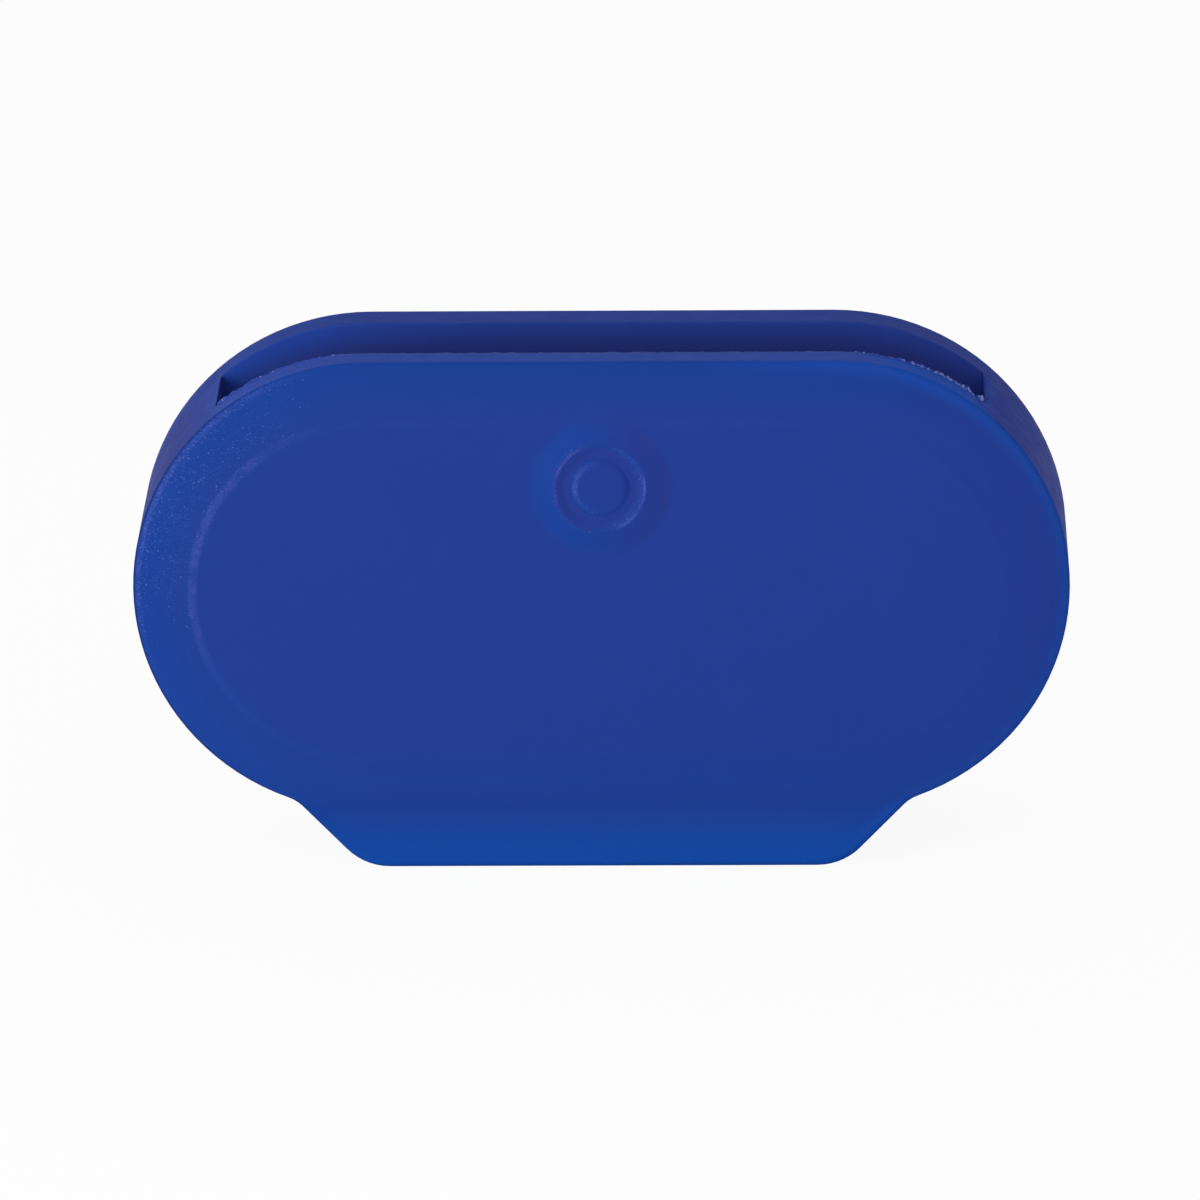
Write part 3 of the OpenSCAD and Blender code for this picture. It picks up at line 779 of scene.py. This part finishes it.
def swap_mesh(piece, mesh):
    """Give a piece a new mesh and drop its modifiers."""
    piece.modifiers.clear()
    piece.data = mesh


def swell(pad, held):
    """Cloth under a little pressure, with its result kept in the mesh."""
    cloth = pad.modifiers.new("cloth", "CLOTH")
    cloth.settings.quality = 4
    cloth.settings.mass = 0.02
    cloth.settings.use_pressure = True
    cloth.settings.uniform_pressure_force = SWELL_PRESSURE
    cloth.settings.vertex_group_mass = held
    cloth.settings.effector_weights.gravity = 0
    cloth.point_cache.frame_start = 1
    cloth.point_cache.frame_end = SWELL_FRAMES
    for moment in range(1, SWELL_FRAMES + 1):
        bpy.context.scene.frame_set(moment)
    swap_mesh(pad, evaluated(pad))
    bpy.context.scene.frame_set(1)


def add_pad(name, node, body, slot, face, cap, lumps):
    """Soft pad grown from its solid: the glued side is held, the rest swells a little under pressure."""
    pad = bpy.data.objects.new(name, frame["nodes"][node].data.copy())
    bpy.context.scene.collection.objects.link(pad)
    low, high = box_of(pad.data)
    middle = (low + high) / 2
    glued_y = low.y if face > 0 else high.y
    for point in pad.data.vertices:
        spot = point.co
        spot.x -= math.copysign(min(PAD_SIDE_GAP, abs(spot.x - middle.x)), spot.x - middle.x)
        spot.z = middle.z + (spot.z - middle.z) * PAD_HEIGHT_SHARE
        spot.y = glued_y + (spot.y - glued_y) * PAD_THICKNESS_SHARE
    cells = pad.modifiers.new("cells", "REMESH")
    cells.mode = "VOXEL"
    cells.voxel_size = PAD_CELL
    swap_mesh(pad, evaluated(pad))
    held = pad.vertex_groups.new(name="held")
    rng = random.Random(PAD_SEED)
    for point in pad.data.vertices:
        if abs(point.co.y - glued_y) < GLUED_DEPTH:
            held.add([point.index], 1.0, "REPLACE")
        else:
            point.co.y += face * rng.uniform(-lumps, lumps)
    start = [point.co.copy() for point in pad.data.vertices]
    swell(pad, held.name)
    for point, was in zip(pad.data.vertices, start):
        move = point.co - was
        if move.length > cap:
            point.co = was + move * (cap / move.length)
        for axis in range(3):
            point.co[axis] = min(max(point.co[axis], low[axis]), high[axis])
    smooth = pad.modifiers.new("smooth", "SUBSURF")
    smooth.levels = smooth.render_levels = 1
    pad.data.materials.clear()
    pad.data.materials.append(FINISHES[slot])
    for polygon in pad.data.polygons:
        polygon.use_smooth = True
    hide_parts(node)
    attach(pad, body)


def add_strands(name, node, body, face, count, steps, step, radius, finish):
    """Loose curled fibres that lie on a pad's working face, inside its outline."""
    low, high = box_of(frame["nodes"][node].data)
    middle = (low + high) / 2
    end_r = (high.z - low.z) / 2
    straight_half = high.x - middle.x - end_r
    outer_y = high.y if face > 0 else low.y
    rng = random.Random(STRAND_SEED)
    curve = bpy.data.curves.new(name, "CURVE")
    curve.dimensions = "3D"
    curve.bevel_depth = radius
    curve.bevel_resolution = 0
    curve.use_fill_caps = True
    for _ in range(count):
        x, z = rng.uniform(low.x, high.x), rng.uniform(low.z, high.z)
        heading, curl = rng.uniform(0, 2 * math.pi), rng.uniform(*STRAND_CURL)
        depth, slope = rng.uniform(*STRAND_DEPTH) * MM, rng.uniform(*STRAND_SLOPE) * MM
        route = []
        while len(route) <= steps:
            past_straight = max(abs(x - middle.x) - straight_half, 0)
            if math.hypot(past_straight, z - middle.z) > end_r - STRAND_MARGIN:
                break
            route.append((x, outer_y - face * (depth + slope * len(route)), z, 1))
            heading += curl + rng.uniform(*STRAND_WOBBLE)
            x += step * math.cos(heading)
            z += step * math.sin(heading)
        if len(route) > 2:
            spline = curve.splines.new("POLY")
            spline.points.add(len(route) - 1)
            spline.points.foreach_set("co", [number for point in route for number in point])
    drawn = bpy.data.objects.new(name + "_route", curve)
    bpy.context.scene.collection.objects.link(drawn)
    strands = bpy.data.objects.new(name, evaluated(drawn))
    bpy.context.scene.collection.objects.link(strands)
    bpy.data.objects.remove(drawn)
    strands.data.materials.clear()
    strands.data.materials.append(finish)
    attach(strands, body)


add_pad("felt_pad_soft", "felt_pad", "dry_half", "felt", face=1, cap=0.3 * MM, lumps=0.05 * MM)
add_pad("scrub_pad_soft", "scrub_pad", "wet_half", "scrub_fibre", face=-1, cap=0.2 * MM, lumps=0.12 * MM)
add_strands(
    "felt_fuzz",
    "felt_pad",
    "dry_half",
    face=1,
    count=500,
    steps=5,
    step=0.7 * MM,
    radius=0.03 * MM,
    finish=fibre("felt_fuzz_wool", rgb(0.70, 0.70, 0.68), rgb(0.84, 0.84, 0.82), 5.0, 0.02 * MM, 0.3),
)
add_strands(
    "scrub_strands",
    "scrub_pad",
    "wet_half",
    face=-1,
    count=600,
    steps=7,
    step=1.1 * MM,
    radius=0.08 * MM,
    finish=fibre("scrub_strand_nylon", rgb(0.10, 0.16, 0.12), rgb(0.24, 0.33, 0.26), 3.0, 0.05 * MM, 0.1),
)


# Stage


def seen(tree, share):
    """The given share for rays that show the backdrop: straight, mirrored or through something clear."""
    path = add_node(tree, "ShaderNodeLightPath").outputs
    mirrored = maths(tree, "MAXIMUM", path["Is Glossy Ray"], path["Is Transmission Ray"])
    return times(tree, maths(tree, "MAXIMUM", path["Is Camera Ray"], mirrored), share)


def add_floor():
    """Pale floor that runs out of sight and keeps a soft shadow."""
    bpy.ops.mesh.primitive_plane_add(size=40)
    floor = bpy.context.object
    floor.name = "floor"
    material, tree, shader = new_material(
        "pale_floor", Base_Color=rgb(0.9, 0.9, 0.9), Roughness=0.9, Specular_IOR_Level=0.0
    )
    glow = add_node(tree, "ShaderNodeEmission", {"Color": rgb(1, 1, 1), "Strength": 1.0})
    blend = add_node(
        tree,
        "ShaderNodeMixShader",
        {0: seen(tree, FLOOR_WHITE), 1: shader.outputs[0], 2: glow.outputs[0]},
    )
    plug(tree, tree.nodes["Material Output"].inputs["Surface"], blend.outputs[0])
    floor.data.materials.append(material)


def add_world(strength):
    """White surroundings that light the object at the given strength and look plain white."""
    world = bpy.data.worlds.new("studio")
    bpy.context.scene.world = world
    world.use_nodes = True
    tree = world.node_tree
    light = tree.nodes["Background"]
    light.inputs["Color"].default_value = rgb(1, 1, 1)
    light.inputs["Strength"].default_value = strength
    white = add_node(tree, "ShaderNodeBackground", {"Color": rgb(1, 1, 1), "Strength": 1.0})
    path = add_node(tree, "ShaderNodeLightPath").outputs
    blend = add_node(
        tree,
        "ShaderNodeMixShader",
        {0: path["Is Camera Ray"], 1: light.outputs[0], 2: white.outputs[0]},
    )
    plug(tree, tree.nodes["World Output"].inputs["Surface"], blend.outputs[0])


def add_softbox(name, direction, distance, size, power):
    """Square lamp that faces the object."""
    lamp = bpy.data.lights.new(name, "AREA")
    lamp.energy = power
    lamp.size = size
    box = bpy.data.objects.new(name, lamp)
    bpy.context.scene.collection.objects.link(box)
    towards = Vector(direction).normalized()
    box.location = VIEW_CENTRE + towards * distance
    box.rotation_mode = "QUATERNION"
    box.rotation_quaternion = (-towards).to_track_quat("-Z", "Y")


def add_camera():
    """Camera at the photograph's angle, aimed so that the object sits in the frame as it does there."""
    camera = bpy.data.objects.new("camera", bpy.data.cameras.new("camera"))
    bpy.context.scene.collection.objects.link(camera)
    bpy.context.scene.camera = camera
    camera.data.sensor_width = SENSOR
    camera.data.lens = FOCAL
    camera.data.clip_end = 100
    back = Vector(
        (
            math.sin(VIEW_AZIMUTH) * math.cos(VIEW_ELEVATION),
            -math.cos(VIEW_AZIMUTH) * math.cos(VIEW_ELEVATION),
            math.sin(VIEW_ELEVATION),
        )
    )
    right = Vector((math.cos(VIEW_AZIMUTH), math.sin(VIEW_AZIMUTH), 0))
    above = back.cross(right)
    camera.location = VIEW_CENTRE + back * VIEW_DISTANCE
    aim = VIEW_CENTRE - right * VIEW_RIGHT_OF_FRAME - above * VIEW_ABOVE_FRAME
    camera.rotation_mode = "QUATERNION"
    facing = (aim - camera.location).to_track_quat("-Z", "Y")
    camera.rotation_quaternion = facing @ Quaternion((0, 0, 1), VIEW_ROLL)


bpy.context.scene.view_settings.view_transform = "Standard"
add_floor()
add_world(WORLD_STRENGTH)
for softbox in SOFTBOXES:
    add_softbox(*softbox)
add_camera()
